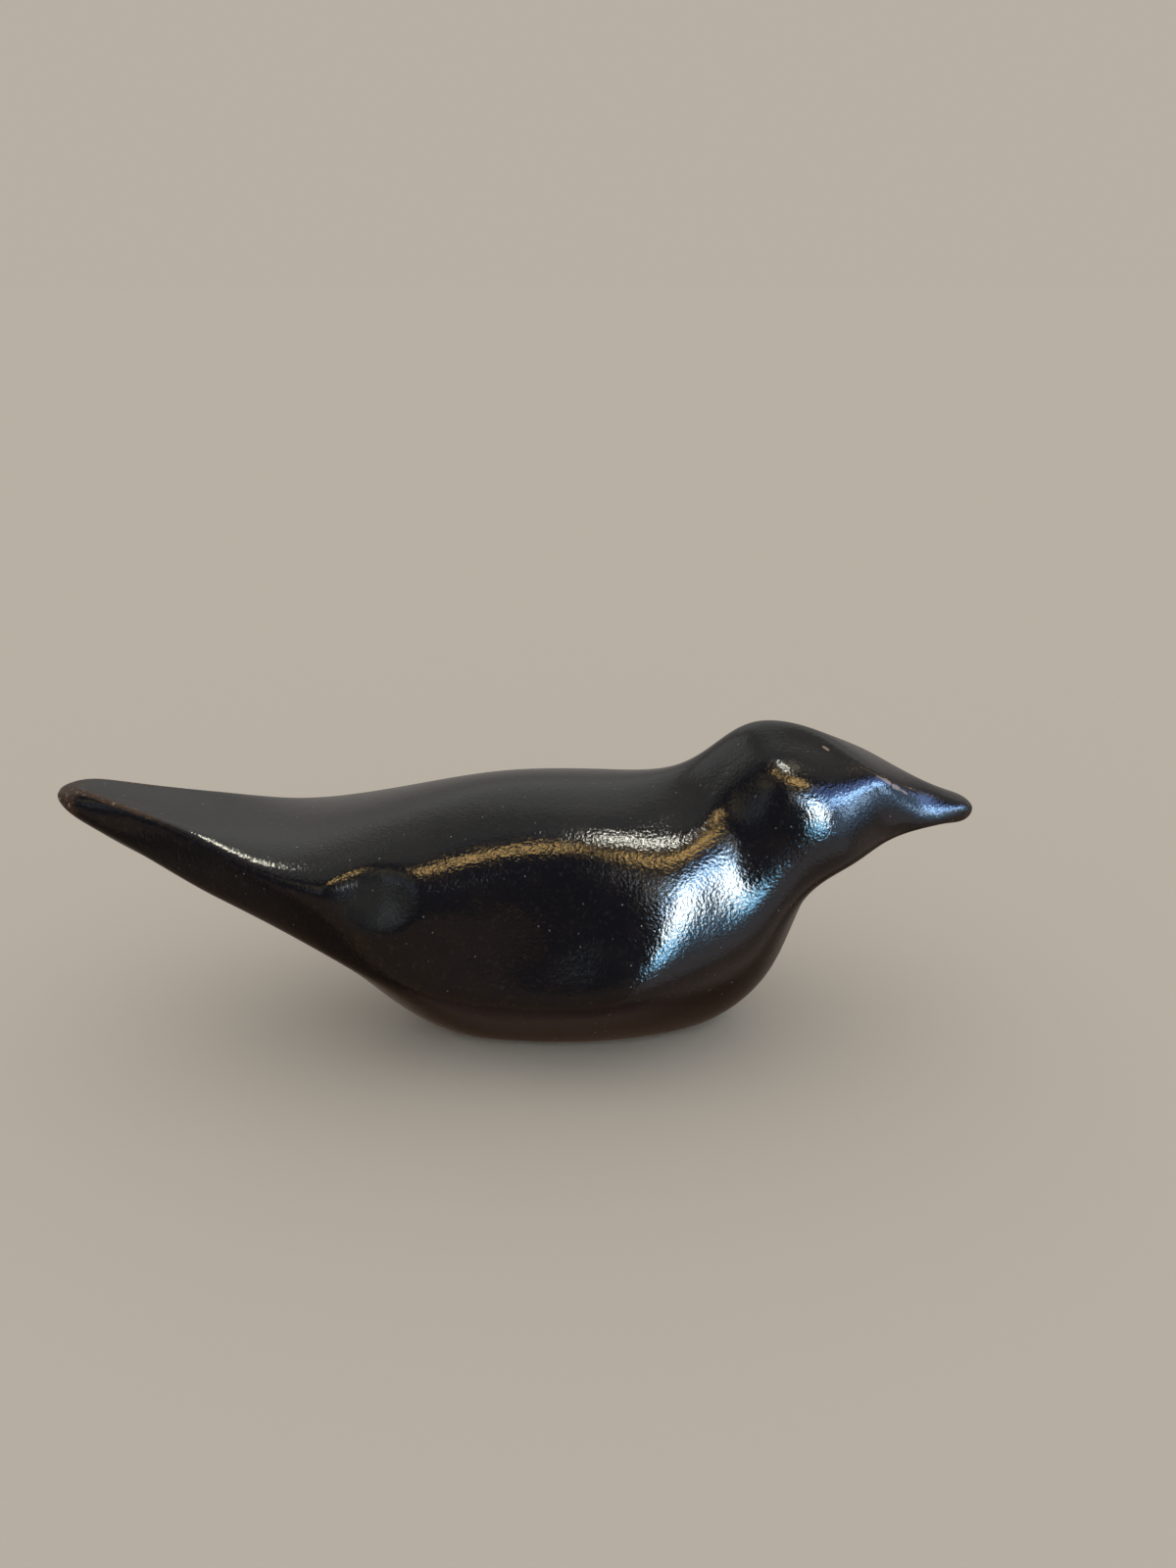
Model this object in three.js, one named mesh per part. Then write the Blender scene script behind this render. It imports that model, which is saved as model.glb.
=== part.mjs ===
// Ceramic bird figurine, one solid piece of glazed stoneware that stands on its flattened belly.
// Millimetres, +Z up, +X towards the bill. The ground plane z = 0 is the underside it rests on.
import * as THREE from "three";

// Driving dimensions.
const tailTipX = -75.6;
const billTipX = 75.6;
const tailTipZ = 41.8;
const billTipZ = 39.3;
const floorSoftness = 2; // how gently the belly rolls into the flat it rests on
const stepsAlong = 72;
const stepsAround = 60;

// The skin is a smooth surface drawn towards a cage of rings, from the tail to the bill.
// Each ring stands at x and leans by "lean" millimetres of x per millimetre of height.
// It holds the height of its top and base on the centre line, and [y, z] of four points on one
// side, with a third number above 1 where the skin is drawn in closer to make a firmer turn.
// The edge is the rim of the tail, the shoulder, the cheek and the rim of the crown.
const rings = [
  { x: -75.6, lean: 0.1, top: 44.5, edge: [0.5, 44.5, 1],
    wing: [3.5, 43.5], flank: [3.5, 41.5], keel: [1.5, 40.5], base: 40.5 },
  { x: -70.5, lean: 0.2, top: 43, edge: [3.5, 43.5, 2.4],
    wing: [6, 41], flank: [4, 38], keel: [1.5, 36.5], base: 35.5 },
  { x: -62, lean: 0.1, top: 39.5, edge: [6, 41.5, 2.8],
    wing: [6.5, 36.5], flank: [4.5, 33], keel: [2, 31.5], base: 29.5 },
  { x: -51.5, lean: 0.1, top: 38, edge: [10, 39, 2.4],
    wing: [10.5, 32.5], flank: [7.5, 26.5], keel: [2.5, 26], base: 24 },
  { x: -40, lean: 0.1, top: 38.5, edge: [16.5, 34.8, 1.9],
    wing: [15.5, 29.5], flank: [11, 22.5], keel: [3, 21], base: 16.5 },
  { x: -27.5, lean: 0.05, top: 42, edge: [22, 34, 1.4],
    wing: [19, 26], flank: [16.5, 18, 1.8], keel: [5.5, 13.5], base: 7 },
  { x: -15, lean: 0, top: 46, edge: [21, 35.5, 1.1],
    wing: [21, 21.5], flank: [22, 15.5, 2], keel: [11, 0.5], base: -2.5 },
  { x: 0, lean: 0, top: 49, edge: [18.5, 38.5, 1.1],
    wing: [18.5, 20.5], flank: [21.5, 13.5, 2.5], keel: [10.5, -2.5], base: -6 },
  { x: 16, lean: -0.05, top: 47, edge: [17, 40, 1.2],
    wing: [20, 28], flank: [27.5, 16, 2.5], keel: [11, -1], base: -6.5 },
  { x: 30, lean: -0.15, top: 48.5, edge: [11, 39, 1],
    wing: [18, 38], flank: [21, 18.5, 1.9], keel: [10, 3], base: -4 },
  { x: 38.5, lean: -0.3, top: 51.5, edge: [4.5, 47.5, 1],
    wing: [10.5, 42], flank: [18, 25, 1.4], keel: [10, 13], base: 7.5 },
  { x: 43.5, lean: -0.3, top: 56, edge: [5.5, 54, 1],
    wing: [12, 50], flank: [15.5, 29.5], keel: [3.5, 26.5], base: 23 },
  { x: 51.5, lean: -0.3, top: 55.5, edge: [1.5, 51, 1.4],
    wing: [13, 47.5], flank: [13.5, 31.5], keel: [2.5, 32.5], base: 31 },
  { x: 59, lean: -0.2, top: 49, edge: [8, 48, 2.5],
    wing: [8, 43], flank: [6, 35, 1.1], keel: [2.5, 35], base: 34.5 },
  { x: 66.5, lean: -0.1, top: 46, edge: [2.5, 43, 2.5],
    wing: [6.5, 39], flank: [5.5, 37.5], keel: [1, 37], base: 36.5 },
  { x: 72.5, lean: 0, top: 42, edge: [3.5, 41, 1.8],
    wing: [4, 39], flank: [2.5, 38], keel: [1.5, 36.5], base: 37 },
  { x: 75.6, lean: 0, top: 41, edge: [2.5, 40.5, 1.2],
    wing: [2.5, 39.5], flank: [2, 38], keel: [1, 37.5], base: 37.5 },
];

// Soft oval hollow pressed into the clay by a thumb, on the near side only.
const thumbMark = { at: [-21.5, -19.5, 31.5], reach: [8.5, 9, 6.5], depth: 1.8, push: [0, 1, -0.2] };

// One ring of ten cage points as [x, y, z, weight], going round from the top down the +Y side.
function ringPoints(ring) {
  const middle = (ring.top + ring.base) / 2;
  const side = [ring.edge, ring.wing, ring.flank, ring.keel].map(([y, z, weight = 1]) => [y, z, weight]);
  const mirrored = side.map(([y, z, weight]) => [-y, z, weight]).reverse();
  const outline = [[0, ring.top, 1], ...side, [0, ring.base, 1], ...mirrored];
  return outline.map(([y, z, weight]) => [ring.x + ring.lean * (z - middle), y, z, weight]);
}

function tipPoints(x, z) {
  return Array.from({ length: 10 }, () => [x, 0, z, 2]);
}

// Cubic blending weights of the cage points that shape one place between the two ends, u 0 to 1.
function alongWeights(count, u) {
  const degree = 3;
  const spans = count - degree;
  const knot = (i) => Math.min(Math.max(i - degree, 0), spans);
  const place = u * spans;
  const span = Math.min(Math.floor(place), spans - 1) + degree;
  let weights = Array.from({ length: count + degree }, (_, i) => (i === span ? 1 : 0));
  for (let k = 1; k <= degree; k++) {
    weights = weights.slice(0, -1).map((weight, i) => {
      const before = knot(i + k) - knot(i);
      const after = knot(i + k + 1) - knot(i + 1);
      const rising = before > 0 ? ((place - knot(i)) / before) * weight : 0;
      const falling = after > 0 ? ((knot(i + k + 1) - place) / after) * weights[i + 1] : 0;
      return rising + falling;
    });
  }
  return weights;
}

// The same for one place round a closed ring, v 0 to 1.
function aroundWeights(count, v) {
  const first = Math.floor(v * count);
  const f = v * count - first;
  const blend = [(1 - f) ** 3, 3 * f ** 3 - 6 * f ** 2 + 4, -3 * f ** 3 + 3 * f ** 2 + 3 * f + 1, f ** 3];
  const weights = new Array(count).fill(0);
  blend.forEach((value, k) => {
    weights[(first + k - 1 + count) % count] = value / 6;
  });
  return weights;
}

// Heights below the floor come up onto it, with a smooth turn at its rim.
function settle(z) {
  if (z <= -floorSoftness) return 0;
  if (z >= floorSoftness) return z;
  return (z + floorSoftness) ** 2 / (4 * floorSoftness);
}

// A point inside the thumb's reach moves inward, most at the middle and not at all at the rim.
function press(point) {
  const { at, reach, depth, push } = thumbMark;
  const away = point.clone().sub(new THREE.Vector3(...at)).divide(new THREE.Vector3(...reach)).length();
  if (away < 1) point.addScaledVector(new THREE.Vector3(...push).normalize(), depth * (1 - away * away) ** 2);
  return point;
}

const cage = [tipPoints(tailTipX, tailTipZ), ...rings.map(ringPoints), tipPoints(billTipX, billTipZ)];

function skinPoint(u, v) {
  const along = alongWeights(cage.length, u);
  const around = aroundWeights(10, v);
  const sum = [0, 0, 0, 0];
  cage.forEach((ring, i) => {
    if (along[i] === 0) return;
    ring.forEach(([x, y, z, weight], j) => {
      const share = along[i] * around[j] * weight;
      sum[0] += share * x;
      sum[1] += share * y;
      sum[2] += share * z;
      sum[3] += share;
    });
  });
  const point = new THREE.Vector3(sum[0] / sum[3], sum[1] / sum[3], sum[2] / sum[3]);
  point.z = settle(point.z);
  return press(point);
}

// Closed skin: a point at each tip and rows of points between them.
function birdGeometry() {
  const positions = [tailTipX, 0, tailTipZ];
  for (let i = 1; i < stepsAlong; i++) {
    for (let j = 0; j < stepsAround; j++) {
      positions.push(...skinPoint(i / stepsAlong, j / stepsAround).toArray());
    }
  }
  positions.push(billTipX, 0, billTipZ);
  const last = positions.length / 3 - 1;
  const at = (i, j) => 1 + (i - 1) * stepsAround + (j % stepsAround);
  const faces = [];
  for (let j = 0; j < stepsAround; j++) {
    faces.push(0, at(1, j), at(1, j + 1));
    for (let i = 1; i < stepsAlong - 1; i++) {
      faces.push(at(i, j), at(i + 1, j), at(i + 1, j + 1));
      faces.push(at(i, j), at(i + 1, j + 1), at(i, j + 1));
    }
    faces.push(at(stepsAlong - 1, j), last, at(stepsAlong - 1, j + 1));
  }
  const geometry = new THREE.BufferGeometry();
  geometry.setAttribute("position", new THREE.Float32BufferAttribute(positions, 3));
  geometry.setIndex(faces);
  geometry.computeVertexNormals();
  return geometry;
}

const blackGlaze = new THREE.MeshStandardMaterial({ color: 0x1c1b1d, roughness: 0.25, metalness: 0.3 });
const bird = new THREE.Mesh(birdGeometry(), blackGlaze);
bird.name = "bird";

const figurine = new THREE.Group();
figurine.name = "birdFigurine";
figurine.add(bird);

export default figurine;
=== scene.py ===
import math

import bpy
import numpy as np
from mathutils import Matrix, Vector, noise


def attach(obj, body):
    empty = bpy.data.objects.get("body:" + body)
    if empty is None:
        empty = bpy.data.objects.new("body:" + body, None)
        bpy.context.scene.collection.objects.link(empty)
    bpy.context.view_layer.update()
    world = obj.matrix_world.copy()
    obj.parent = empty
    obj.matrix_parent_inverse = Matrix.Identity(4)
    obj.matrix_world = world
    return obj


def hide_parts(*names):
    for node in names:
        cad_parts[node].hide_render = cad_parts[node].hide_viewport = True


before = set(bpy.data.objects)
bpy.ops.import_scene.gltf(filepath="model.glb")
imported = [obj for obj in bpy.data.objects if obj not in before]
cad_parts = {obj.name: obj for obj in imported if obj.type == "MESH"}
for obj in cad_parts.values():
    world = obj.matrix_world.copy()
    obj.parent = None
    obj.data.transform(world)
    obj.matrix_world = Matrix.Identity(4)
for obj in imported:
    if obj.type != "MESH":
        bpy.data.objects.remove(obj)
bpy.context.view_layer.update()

# Ceramic songbird in lustrous black glaze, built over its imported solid. Metres, +X towards the bill.
print("solid loaded")


# Millimetres. Each ring: x, lean, top height, then [y, z] of the edge, wing, flank and keel, with a weight
# where the skin is drawn in closer, and the height of the base.
birdShape = {
    "tailTip": (-75.6, 41.8),
    "billTip": (75.6, 39.3),
    "rings": [
        (-75.6, 0.1, 44.5, (0.5, 44.5, 1.0), (3.5, 43.5), (3.5, 41.5, 1.0), (1.5, 40.5), 40.5),
        (-70.5, 0.2, 43.0, (3.5, 43.5, 2.4), (6.0, 41.0), (4.0, 38.0, 1.0), (1.5, 36.5), 35.5),
        (-62.0, 0.1, 39.5, (6.0, 41.5, 2.8), (6.5, 36.5), (4.5, 33.0, 1.0), (2.0, 31.5), 29.5),
        (-51.5, 0.1, 38.0, (10.0, 39.0, 2.4), (10.5, 32.5), (7.5, 26.5, 1.0), (2.5, 26.0), 24.0),
        (-40.0, 0.1, 38.5, (16.5, 34.8, 1.9), (15.5, 29.5), (11.0, 22.5, 1.0), (3.0, 21.0), 16.5),
        (-27.5, 0.05, 42.0, (22.0, 34.0, 1.4), (19.0, 26.0), (16.5, 18.0, 1.8), (5.5, 13.5), 7.0),
        (-15.0, 0, 46.0, (21.0, 35.5, 1.1), (21.0, 21.5), (22.0, 15.5, 2.0), (11.0, 0.5), -2.5),
        (0.0, 0, 49.0, (18.5, 38.5, 1.1), (18.5, 20.5), (21.5, 13.5, 2.5), (10.5, -2.5), -6.0),
        (16.0, -0.05, 47.0, (17.0, 40.0, 1.2), (20.0, 28.0), (27.5, 16.0, 2.5), (11.0, -1.0), -6.5),
        (30.0, -0.15, 48.5, (11.0, 39.0, 1.0), (18.0, 38.0), (21.0, 18.5, 1.9), (10.0, 3.0), -4.0),
        (38.5, -0.3, 51.5, (4.5, 47.5, 1.0), (10.5, 42.0), (18.0, 25.0, 1.4), (10.0, 13.0), 7.5),
        (43.5, -0.3, 56.0, (5.5, 54.0, 1.0), (12.0, 50.0), (15.5, 29.5, 1.0), (3.5, 26.5), 23.0),
        (51.5, -0.3, 55.5, (1.5, 51.0, 1.4), (13.0, 47.5), (13.5, 31.5, 1.0), (2.5, 32.5), 31.0),
        (59.0, -0.2, 49.0, (8.0, 48.0, 2.5), (8.0, 43.0), (6.0, 35.0, 1.1), (2.5, 35.0), 34.5),
        (66.5, -0.1, 46.0, (2.5, 43.0, 2.5), (6.5, 39.0), (5.5, 37.5, 1.0), (1.0, 37.0), 36.5),
        (72.5, 0, 42.0, (3.5, 41.0, 1.8), (4.0, 39.0), (2.5, 38.0, 1.0), (1.5, 36.5), 37.0),
        (75.6, 0, 41.0, (2.5, 40.5, 1.2), (2.5, 39.5), (2.0, 38.0, 1.0), (1.0, 37.5), 37.5),
    ],
    # soft oval hollows: middle, reach along x, y and z, depth, direction they push
    "hollows": {
        "thumbMark": ((-21.5, -19.5, 31.5), (8.5, 9.0, 6.5), 1.8, (0.0, 1.0, -0.2)),
    },
    "floorSoftness": 2.0,
    "pointsInRing": 10,
    "tipWeight": 2.0,  # how closely the skin is drawn to the point at either tip
    "unevenness": 0.05,  # how deep the hand-formed ripple goes, never outwards
    "broadRipple": 0.09,  # waves to the millimetre
    "fineRipple": 0.23,
    "fineShare": 0.4,
    "rippleMiddle": 0.5,
    "rippleSwing": 0.6,
    "flatFade": 3.0,  # height over which the ripple sets in above the flat
    "endFade": 0.03,  # share of the steps at either end over which it dies out
    "stepsAlong": 400,
    "stepsAround": 220,
}


def cageOf(shape):
    tip = lambda end: [(end[0], 0, end[1], shape["tipWeight"])] * shape["pointsInRing"]
    net = [tip(shape["tailTip"])]
    for x, lean, top, edge, wing, flank, keel, base in shape["rings"]:
        side = [edge, (*wing, 1), flank, (*keel, 1)]
        other = [(-y, z, weight) for y, z, weight in reversed(side)]
        outline = [(0, top, 1), *side, (0, base, 1), *other]
        middle = (top + base) / 2
        net.append([(x + lean * (z - middle), y, z, weight) for y, z, weight in outline])
    net.append(tip(shape["billTip"]))
    return np.array(net, float)


def alongWeights(count, places):
    degree = 3
    spans = count - degree
    knot = np.clip(np.arange(count + degree + 1) - degree, 0, spans).astype(float)
    place = np.clip(places, 0, 1 - 1e-9) * spans
    weights = (np.floor(place)[:, None] + degree == np.arange(count + degree)).astype(float)
    for k in range(1, degree + 1):
        grown = np.zeros((len(place), weights.shape[1] - 1))
        for i in range(grown.shape[1]):
            before, after = knot[i + k] - knot[i], knot[i + k + 1] - knot[i + 1]
            if before > 0:
                grown[:, i] += (place - knot[i]) / before * weights[:, i]
            if after > 0:
                grown[:, i] += (knot[i + k + 1] - place) / after * weights[:, i + 1]
        weights = grown
    return weights


def aroundWeights(count, places):
    first = np.floor(places * count).astype(int)
    f = places * count - first
    blend = [(1 - f) ** 3, 3 * f**3 - 6 * f**2 + 4, -3 * f**3 + 3 * f**2 + 3 * f + 1, f**3]
    weights = np.zeros((len(places), count))
    for k, value in enumerate(blend):
        weights[np.arange(len(places)), (first + k - 1) % count] += value / 6
    return weights


def skinPoints(shape, along, around):
    net = cageOf(shape)
    net[..., :3] *= net[..., 3:]
    ringWeights = aroundWeights(shape["pointsInRing"], around)
    blended = np.einsum("ui,ijc,vj->uvc", alongWeights(len(net), along), net, ringWeights)
    points = blended[..., :3] / blended[..., 3:]
    soft = shape["floorSoftness"]
    z = points[..., 2]
    points[..., 2] = np.where(z <= -soft, 0, np.where(z >= soft, z, (z + soft) ** 2 / (4 * soft)))
    for middle, reach, depth, push in shape["hollows"].values():
        away = np.linalg.norm((points - np.array(middle)) / np.array(reach), axis=-1)
        amount = depth * np.where(away < 1, (1 - away**2) ** 2, 0)
        points += amount[..., None] * np.array(push) / np.linalg.norm(push)
    return points


# Where the glaze runs thin or is worn off, in millimetres. A rim's width is in steps between ring points.
thinAreas = {
    "tailRim": {"before": -44.0, "fade": 20.0, "width": 0.5},
    "crownRim": {"after": 50.0, "before": 74.0, "fade": 6.0, "width": 0.12, "strength": 0.8},
    "tailEnd": {"before": -69.5, "fade": 3.0},
    "bareFoot": {"below": 0.35, "fade": 0.3},
}


# 0 to 1 for each point of the skin: along the crisp rims, at the tail's end, under the belly, and in the
#                                    thumb mark, where the mask carries a painted reflection of pale grey
#                                    inside the dimple.
def wearAndPaintedReflectionOn(shape, areas, skin, around):
    x, z = skin[..., 0], skin[..., 2]
    count = shape["pointsInRing"]
    side = np.abs((around * count + count / 2) % count - count / 2)  # 1 on the edge of either side
    ramp = lambda value, fade: np.clip(value / fade, 0, 1)
    ridge = lambda width: np.exp(-(((side[None, :] - 1) / width) ** 2))
    tail, crown, end, foot = (areas[name] for name in ("tailRim", "crownRim", "tailEnd", "bareFoot"))
    tailRim = ridge(tail["width"]) * ramp(tail["before"] - x, tail["fade"])
    crownRim = ridge(crown["width"]) * ramp(x - crown["after"], crown["fade"])
    crownRim = crownRim * ramp(crown["before"] - x, crown["fade"])
    middle, reach, _, _ = shape["hollows"]["thumbMark"]
    away = np.linalg.norm((skin - np.array(middle)) / np.array(reach), axis=-1)
    return {
        "thinRim": np.maximum(tailRim, crownRim * crown["strength"]),
        "tailEnd": ramp(end["before"] - x, end["fade"]),
        "bareFoot": ramp(foot["below"] - z, foot["fade"]),
        # painted reflection: the thumb mark's mask, by which its inside is lightened in colour
        "thumbPaintedReflection": np.clip(1.0 - away, 0, 1),
    }


def buildBird(shape, areas):
    rows, columns = shape["stepsAlong"], shape["stepsAround"]
    along = np.arange(1, rows) / rows
    around = np.arange(columns) / columns
    skin = skinPoints(shape, along, around)
    down = np.gradient(skin, axis=0)
    across = (np.roll(skin, -1, axis=1) - np.roll(skin, 1, axis=1)) / 2
    inward = np.cross(down, across)
    inward /= np.linalg.norm(inward, axis=2, keepdims=True)
    middles = skin.mean(axis=1, keepdims=True)
    if ((middles - skin) * inward).sum() < 0:
        inward = -inward
    ripple = np.array([
        noise.noise(Vector(p) * shape["broadRipple"])
        + shape["fineShare"] * noise.noise(Vector(p) * shape["fineRipple"])
        for p in skin.reshape(-1, 3)
    ]).reshape(skin.shape[:2])
    depth = shape["unevenness"] * np.clip(shape["rippleMiddle"] + shape["rippleSwing"] * ripple, 0, 1)
    depth *= np.clip(skin[..., 2] / shape["flatFade"], 0, 1)  # the flat underside stays flat
    ends = np.minimum(along, 1 - along)
    depth *= np.clip(ends / shape["endFade"], 0, 1)[:, None]
    skin = skin + inward * depth[..., None]

    tailEnd = (shape["tailTip"][0], 0, shape["tailTip"][1])
    billEnd = (shape["billTip"][0], 0, shape["billTip"][1])
    points = np.vstack([[tailEnd], skin.reshape(-1, 3), [billEnd]]) / 1000
    last = len(points) - 1
    at = lambda i, j: 1 + i * columns + j % columns
    faces = [(0, at(0, j), at(0, j + 1)) for j in range(columns)]
    faces += [
        (at(i, j), at(i + 1, j), at(i + 1, j + 1), at(i, j + 1))
        for i in range(rows - 2) for j in range(columns)
    ]
    faces += [(at(rows - 2, j), last, at(rows - 2, j + 1)) for j in range(columns)]
    mesh = bpy.data.meshes.new("birdSkin")
    mesh.from_pydata(points.tolist(), [], faces)
    mesh.update()
    for face in mesh.polygons:
        face.use_smooth = True

    for name, values in wearAndPaintedReflectionOn(shape, areas, skin, around).items():
        atTail = 1.0 if name == "tailEnd" else 0.0
        layer = mesh.attributes.new(name, "FLOAT", "POINT")
        layer.data.foreach_set("value", np.concatenate([[atTail], values.ravel(), [0.0]]))
    made = bpy.data.objects.new("birdSkin", mesh)
    bpy.context.scene.collection.objects.link(made)
    return made


bird = buildBird(birdShape, thinAreas)
print("bird skin built,", len(bird.data.polygons), "faces")


# A shader value that can be used in sums, such as 1 - mask * 0.5. It can be added, taken away and multiplied.
class Wire:
    def __init__(self, finish, socket):
        self.finish = finish
        self.socket = socket

    def __add__(self, other):
        return self.finish.sum("ADD", self, other)

    def __sub__(self, other):
        return self.finish.sum("SUBTRACT", self, other)

    def __rsub__(self, other):
        return self.finish.sum("SUBTRACT", other, self)

    def __mul__(self, other):
        return self.finish.sum("MULTIPLY", self, other)

    __radd__ = __add__
    __rmul__ = __mul__


class Finish:
    def __init__(self, tree):
        self.tree = tree
        tree.nodes.clear()

    # Every node is made here: its type, its settings, then the values or links of its sockets.
    def node(self, kind, settings=None, values=None, out=0):
        made = self.tree.nodes.new(kind)
        for key, value in (settings or {}).items():
            setattr(made, key, value)
        for key, value in (values or {}).items():
            if isinstance(value, Wire):
                self.tree.links.new(value.socket, made.inputs[key])
            else:
                made.inputs[key].default_value = value
        return Wire(self, made.outputs[out]) if made.outputs else None

    def sum(self, operation, first, second):
        return self.node("ShaderNodeMath", {"operation": operation}, {0: first, 1: second})

    def blend(self, amount, first, second):
        values = {0: amount, 6: first, 7: second}
        return self.node("ShaderNodeMix", {"data_type": "RGBA"}, values, out=2)

    # 0 below low and 1 above high, with soft ends
    def between(self, value, low, high):
        settings = {"interpolation_type": "SMOOTHSTEP"}
        return self.node("ShaderNodeMapRange", settings, {0: value, 1: low, 2: high})

    def millimetres(self):
        place = self.node("ShaderNodeTexCoord", out=3)
        return self.node("ShaderNodeVectorMath", {"operation": "SCALE"}, {0: place, "Scale": 1000})

    def clouds(self, place, size, detail=2.0, rough=0.5):
        values = {"Vector": place, "Scale": 1 / size, "Detail": detail, "Roughness": rough}
        return self.node("ShaderNodeTexNoise", None, values)

    def vector(self, operation, first, second, out=0):
        return self.node("ShaderNodeVectorMath", {"operation": operation}, {0: first, 1: second}, out)

    def layer(self, name):
        return self.node("ShaderNodeAttribute", {"attribute_name": name}, None, out=2)


blackGlaze = {
    "black": (0.0030, 0.0030, 0.0038, 1),
    "brownBlack": (0.0065, 0.0048, 0.0038, 1),
    "fleckBrown": (0.016, 0.012, 0.009, 1),
    # painted reflection: a pale grey laid into the thumb-mark dimple in place of the room it would mirror
    "paintedReflectionGrey": (0.026, 0.027, 0.024, 1),
    "thinBrown": (0.055, 0.028, 0.014, 1),
    "bareClay": (0.085, 0.045, 0.026, 1),
    "chipTan": (0.32, 0.24, 0.17, 1),
    "dust": (0.16, 0.17, 0.18, 1),
    "grainSize": 0.5,  # millimetres
    "grainHeight": 0.05,
    "swellGrains": 4,  # how many grains wide the slower swell under the grain is
    "swellShare": 0.8,
    "mottleSize": 5.0,
    "driftSize": 22.0,
    "rimNoiseSize": 1.6,
    "fleckSize": 0.8,
    "chipSize": 0.7,
    "dustPerMillimetre": 0.42,
    # where each of these begins and is full, on the cloud or layer that it comes from
    "mottleRange": (0.45, 0.7),
    "fleckRange": (0.56, 0.72),
    "rimRange": (0.40, 0.75),
    "tipRange": (0.35, 1.0),
    "footRange": (0.75, 0.95),
    "thumbReflectionRange": (0.05, 0.75),
    "chipRange": (0.60, 0.68),
    "dustRange": (0.075, 0.045),
    "roughRange": (0.42, 0.62),
    # how far each colour covers what is under it
    "thinShare": 0.8,
    "thumbReflectionShare": 0.8,
    "chipShare": 0.8,
    "dustShare": 0.6,
    "wornShare": 0.9,
    "roughness": 0.09,
    "roughnessSpread": 0.06,
    "thinRoughness": 0.45,
    "footRoughness": 0.5,  # added to the roughness, as the next is
    "dustRoughness": 0.3,
    "glossyIor": 1.5,
    "wornIor": 1.35,
    "scratchWobble": 0.5,
    "scratchEdge": (1.5, 0.6),  # where a scratch begins and is full, in its half widths
    # bare scratches on the rim of the crown: from, to, half width, in millimetres
    "scratches": [
        ((58.0, -6.2, 47.2), (59.3, -6.1, 46.5), 0.14),
        ((59.3, -6.1, 46.5), (60.2, -6.0, 45.9), 0.30),
        ((60.8, -5.9, 45.4), (61.8, -5.6, 44.8), 0.34),
        ((61.8, -5.6, 44.8), (63.2, -5.2, 43.8), 0.14),
        ((49.7, -3.5, 51.2), (50.3, -3.8, 50.9), 0.24),
    ],
}


# How close each place is to a short line, as 1 on it and 0 further off than its half width.
def scratchMask(glaze, look, place, jitter, start, end, halfWidth):
    ab = [e - s for s, e in zip(start, end)]
    fromStart = glaze.vector("SUBTRACT", place, start)
    along = glaze.vector("DOT_PRODUCT", fromStart, ab, out=1) * (1 / sum(v * v for v in ab))
    along = glaze.node("ShaderNodeClamp", None, {0: along, 1: 0.0, 2: 1.0})
    nearest = glaze.node("ShaderNodeVectorMath", {"operation": "SCALE"}, {0: ab, "Scale": along})
    gap = glaze.vector("DISTANCE", fromStart, nearest, out=1)
    begins, full = (halfWidth * share for share in look["scratchEdge"])
    return glaze.between(gap + (jitter - 0.5) * look["scratchWobble"], begins, full)


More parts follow.
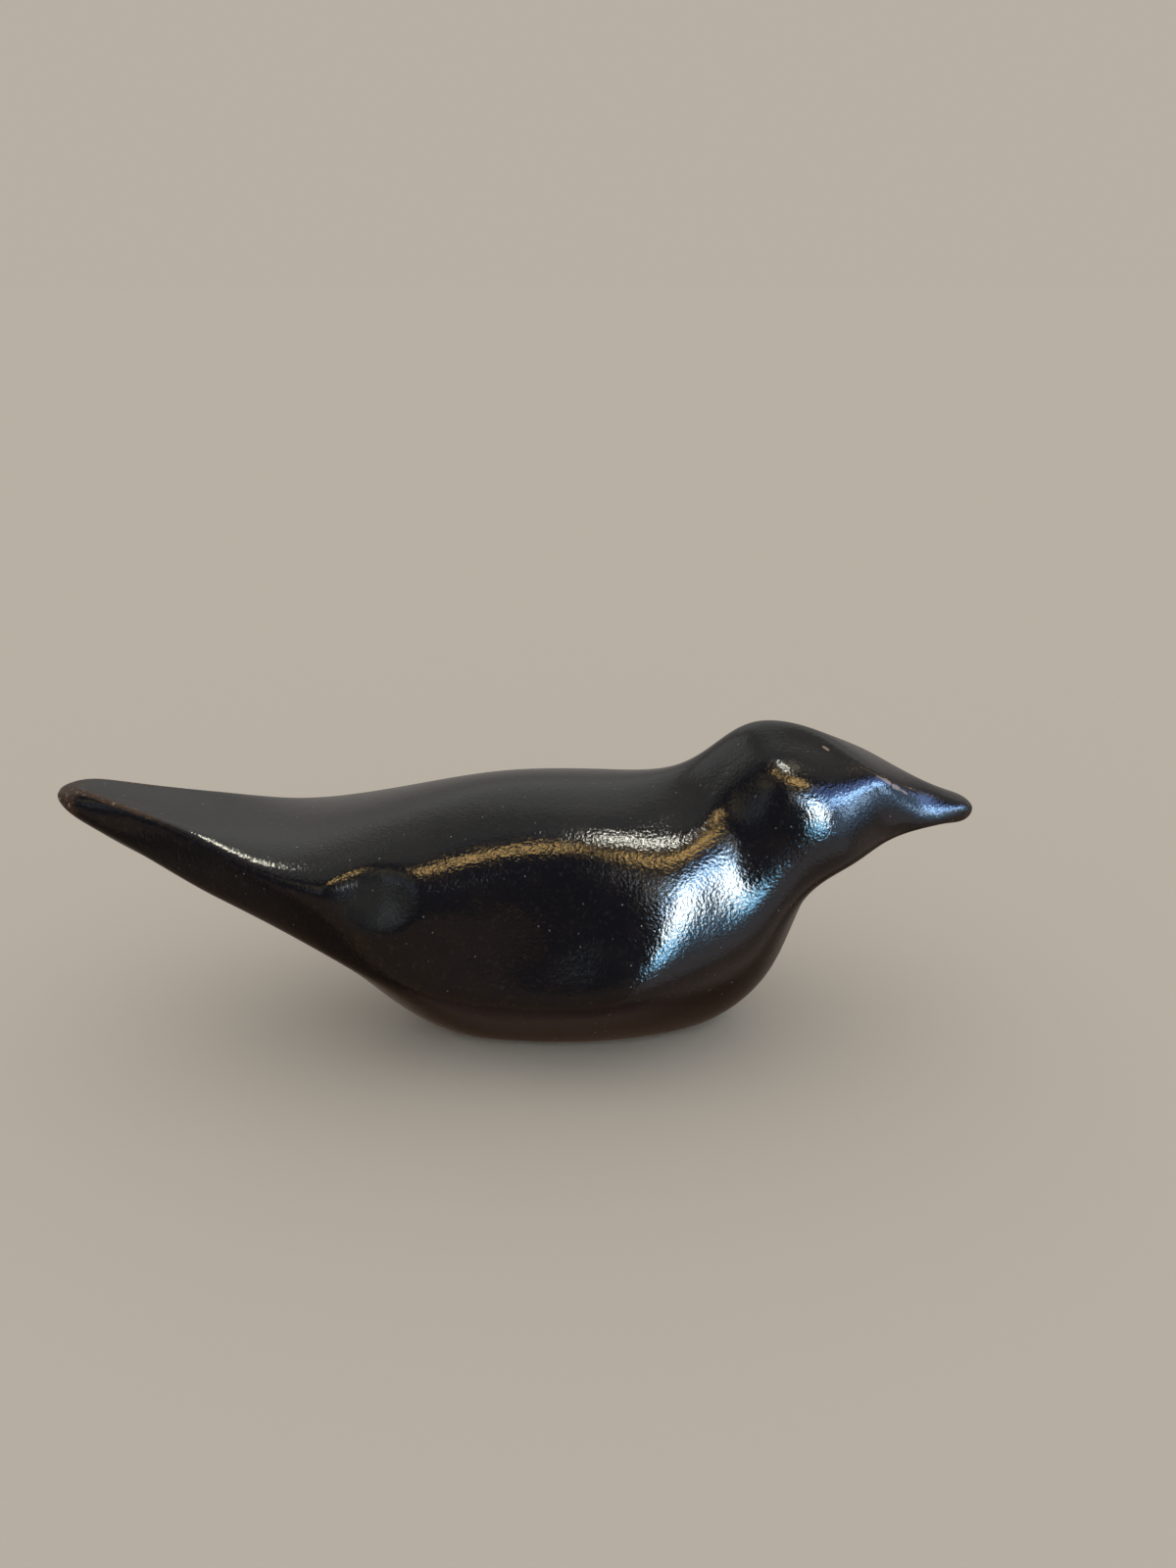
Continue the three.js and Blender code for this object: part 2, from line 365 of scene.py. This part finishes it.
def makeGlaze(look):
    material = bpy.data.materials.new("blackGlaze")
    material.use_nodes = True
    glaze = Finish(material.node_tree)
    place = glaze.millimetres()
    mottle = glaze.clouds(place, look["mottleSize"], 4.0, 0.6)
    drift = glaze.clouds(place, look["driftSize"], 2.0)
    grain = glaze.clouds(place, look["grainSize"], 2.0, 0.6)
    swell = glaze.clouds(place, look["grainSize"] * look["swellGrains"], 2.0)

    rimNoise = glaze.clouds(place, look["rimNoiseSize"], 3.0, 0.65)
    rim = glaze.between(glaze.layer("thinRim") * (0.4 + rimNoise), *look["rimRange"])
    tip = glaze.between(glaze.layer("tailEnd") * (0.5 + rimNoise), *look["tipRange"])
    foot = glaze.between(glaze.layer("bareFoot") + rimNoise * 0.4, *look["footRange"])

    base = glaze.blend(glaze.between(mottle, *look["mottleRange"]), look["black"], look["brownBlack"])
    flecks = glaze.between(glaze.clouds(place, look["fleckSize"], 2.0, 0.6), *look["fleckRange"])
    base = glaze.blend(flecks, base, look["fleckBrown"])
    # painted reflection: the dimple of the thumb mark is lightened with a mottled pale grey in its colour
    paintedReflection = glaze.between(glaze.layer("thumbPaintedReflection") * (rimNoise + mottle), *look["thumbReflectionRange"])
    base = glaze.blend(paintedReflection * look["thumbReflectionShare"], base, look["paintedReflectionGrey"])
    thin = glaze.node("ShaderNodeMath", {"operation": "MAXIMUM"}, {0: rim, 1: tip})
    base = glaze.blend(thin * look["thinShare"], base, look["thinBrown"])
    chips = glaze.between(glaze.clouds(place, look["chipSize"], 2.0, 0.7), *look["chipRange"]) * thin
    base = glaze.blend(chips * look["chipShare"], base, look["chipTan"])
    values = {"Vector": place, "Scale": look["dustPerMillimetre"]}
    specks = glaze.node("ShaderNodeTexVoronoi", {"feature": "F1"}, values)
    dust = glaze.between(specks, *look["dustRange"])
    base = glaze.blend(dust * look["dustShare"], base, look["dust"])
    base = glaze.blend(foot, base, look["bareClay"])
    for start, end, halfWidth in look["scratches"]:
        bare = scratchMask(glaze, look, place, rimNoise, start, end, halfWidth)
        base = glaze.blend(bare, base, look["chipTan"])

    patches = glaze.between(drift * 0.5 + mottle * 0.5, *look["roughRange"])
    rough = look["roughness"] + look["roughnessSpread"] * patches
    rough = rough + foot * look["footRoughness"] + dust * look["dustRoughness"]
    height = (grain + swell * look["swellShare"]) * look["grainHeight"]
    bump = glaze.node("ShaderNodeBump", None, {"Strength": 1.0, "Distance": 0.001, "Height": height})
    values = {"Base Color": base, "Roughness": rough, "IOR": look["glossyIor"], "Normal": bump}
    glossy = glaze.node("ShaderNodeBsdfPrincipled", None, values)
    values = {"Base Color": base, "Roughness": look["thinRoughness"], "IOR": look["wornIor"], "Normal": bump}
    worn = glaze.node("ShaderNodeBsdfPrincipled", None, values)
    surface = glaze.node("ShaderNodeMixShader", None, {0: thin * look["wornShare"], 1: glossy, 2: worn})
    glaze.node("ShaderNodeOutputMaterial", None, {"Surface": surface})
    return material


bird.data.materials.append(makeGlaze(blackGlaze))
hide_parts("bird")
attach(bird, "root")
print("glaze made")


# Where things stand in the room is given in degrees: right of straight in front, and up from level.
studio = {
    "floor": (0.60, 0.54, 0.46, 1),
    "floorCorners": [(-6, -6, 0), (6, -6, 0), (6, 12, 0), (-6, 12, 0)],
    "daylight": (0.80, 0.80, 0.80, 1),  # what lights the floor evenly
    "backdrop": (0.48, 0.43, 0.37, 1),
    "wallGlow": (0.49, 0.47, 0.45, 1),
    "wallEdge": (-0.38, -0.14),
    "dark": (0.115, 0.118, 0.165, 1),
    "ceiling": (0.54, 0.58, 0.57, 1),
    "ceilingEdge": (61, 110),
    "board": (0.076, 0.045, 0.026, 1),
    "boardEdge": (44, -64),
    # soft panes seen only in reflections: name, right, up, half width, half height, softness, colour
    "panes": [
        ("windowWhite", 30, 15, 3, 6, 4, (42, 48, 51)),
        ("windowTop", 44, 24, 24, 1, 3, (10, 18, 28)),
        ("windowLeft", 15, 28, 3, 3, 4, (3.0, 2.8, 2.5)),
        ("windowSide", 60, 17, 2, 10, 3, (5.5, 8.5, 12.5)),
        ("windowLow", 28, 1, 1, 1, 6, (10, 24, 36)),
        ("violetBand", 67, 30, 24, 6, 8, (1.2, 2.0, 4.6)),
        ("farRoom", 62, 12, 22, 12, 12, (0.5, 0.9, 1.4)),
        ("whiteLamp", 29, 71, 6, 2, 3, (60, 60, 52)),
        ("warmLamp", 55, 66, 30, 1, 3, (2.5, 2.1, 1.4)),
        ("goldLamp", 28, 49, 12, 1, 4, (14, 9.0, 3.2)),
        ("goldWall", 22, 52, 14, 6, 9, (0.7, 0.48, 0.2)),
        ("goldStrip", -11, 58, 5, 2, 4, (15, 9.8, 3.6)),
        ("dimWindow", -30, 20, 3, 6, 8, (0.32, 0.38, 0.42)),
        ("warmCorner", -34, 38, 11, 2, 7, (0.6, 0.5, 0.25)),
        ("wallTop", 172, 53, 32, 15, 16, (0.31, 0.33, 0.31)),
        ("wallSide", -110, 42, 16, 12, 12, (0.45, 0.47, 0.47)),
        ("lowFront", 43, -6, 15, 20, 10, (0.30, 0.34, 0.40)),
        ("lowRight", 66, -36, 34, 18, 16, (0.27, 0.21, 0.18)),
        ("boardFront", -15, -36, 38, 27, 8, (0.19, 0.13, 0.09)),
        ("boardUnder", 0, -76, 180, 5, 10, (0.09, 0.06, 0.06)),
    ],
    # small lamps near the bird, seen only in the glaze: name, place, the point they face, width, length,
    # watts, colour
    "lamps": [
        ("tailLamp", (-0.0492, -0.0036, 0.058), (-0.0445, -0.0115, 0.0367),
         0.0034, 0.011, 0.0026, (1.0, 0.97, 0.8)),
    ],
}


# The room glows evenly on the floor and to the eye. In the glaze it is pale behind the bird, dim in
# front of it and dark below, with soft panes.
def makeRoom(look):
    world = bpy.data.worlds.new("room")
    bpy.context.scene.world = world
    world.use_nodes = True
    room = Finish(world.node_tree)
    facing = room.node("ShaderNodeTexCoord")
    x, y, z = (room.node("ShaderNodeSeparateXYZ", None, {0: facing}, out=i) for i in range(3))
    right = room.sum("ARCTAN2", x, 0 - y) * math.degrees(1)
    up = room.sum("ARCSINE", z, 0) * math.degrees(1)
    colour = room.blend(room.between(y, *look["wallEdge"]), look["dark"], look["wallGlow"])
    colour = room.blend(room.between(up, *look["ceilingEdge"]), colour, look["ceiling"])
    colour = room.blend(room.between(up, *look["boardEdge"]), colour, look["board"])
    for name, paneRight, paneUp, halfWidth, halfHeight, soft, glow in look["panes"]:
        values = {0: right - paneRight, 1: 180.0, 2: -180.0}
        turned = room.node("ShaderNodeMath", {"operation": "WRAP"}, values)
        across = room.between(room.sum("ABSOLUTE", turned, 0), halfWidth + soft, halfWidth)
        above = room.between(room.sum("ABSOLUTE", up - paneUp, 0), halfHeight + soft, halfHeight)
        settings = {"data_type": "RGBA", "blend_type": "ADD", "label": name}
        values = {0: across * above, 6: colour, 7: (*glow, 1)}
        colour = room.node("ShaderNodeMix", settings, values, out=2)
    seen = room.node("ShaderNodeLightPath", out=0)
    glossy = room.node("ShaderNodeLightPath", out=3)
    colour = room.blend(glossy, look["daylight"], colour)
    colour = room.blend(seen, colour, look["backdrop"])
    backdrop = room.node("ShaderNodeBackground", None, {0: colour, 1: 1.0})
    room.node("ShaderNodeOutputWorld", None, {"Surface": backdrop})
    world.cycles.sampling_method = "NONE"


def buildStage(look):
    mesh = bpy.data.meshes.new("floor")
    mesh.from_pydata(look["floorCorners"], [], [(0, 1, 2, 3)])
    floor = bpy.data.objects.new("floor", mesh)
    floor.visible_glossy = False  # the glaze mirrors the dark underside of the room instead
    bpy.context.scene.collection.objects.link(floor)
    material = bpy.data.materials.new("palePlaster")
    material.use_nodes = True
    plain = Finish(material.node_tree)
    surface = plain.node("ShaderNodeBsdfDiffuse", None, {0: look["floor"]})
    plain.node("ShaderNodeOutputMaterial", None, {"Surface": surface})
    mesh.materials.append(material)

    for name, place, faces, width, length, watts, colour in look["lamps"]:
        data = bpy.data.lights.new(name, "AREA")
        data.shape = "RECTANGLE"
        data.size, data.size_y = width, length
        data.energy = watts
        data.color = colour
        lamp = bpy.data.objects.new(name, data)
        lamp.location = place
        lamp.rotation_euler = (Vector(place) - Vector(faces)).to_track_quat("Z", "Y").to_euler()
        lamp.visible_camera = False
        lamp.visible_diffuse = False
        bpy.context.scene.collection.objects.link(lamp)


makeRoom(studio)
buildStage(studio)
print("stage set")

photoCamera = {
    "place": (0.01188, -0.2008, 0.12172),
    "pitch": 21.3,  # degrees below level
    "lens": 30.0,
    "sensorWidth": 36.0,
    "nearest": 0.01,  # metres, nothing closer is drawn
}


def placeCamera(look):
    data = bpy.data.cameras.new("camera")
    data.lens = look["lens"]
    data.sensor_width = look["sensorWidth"]
    data.clip_start = look["nearest"]
    camera = bpy.data.objects.new("camera", data)
    camera.location = look["place"]
    camera.rotation_euler = (math.radians(90 - look["pitch"]), 0, 0)
    bpy.context.scene.collection.objects.link(camera)
    bpy.context.scene.camera = camera
    bpy.context.scene.view_settings.view_transform = "Standard"


placeCamera(photoCamera)
print("camera placed")

bpy.context.view_layer.update()
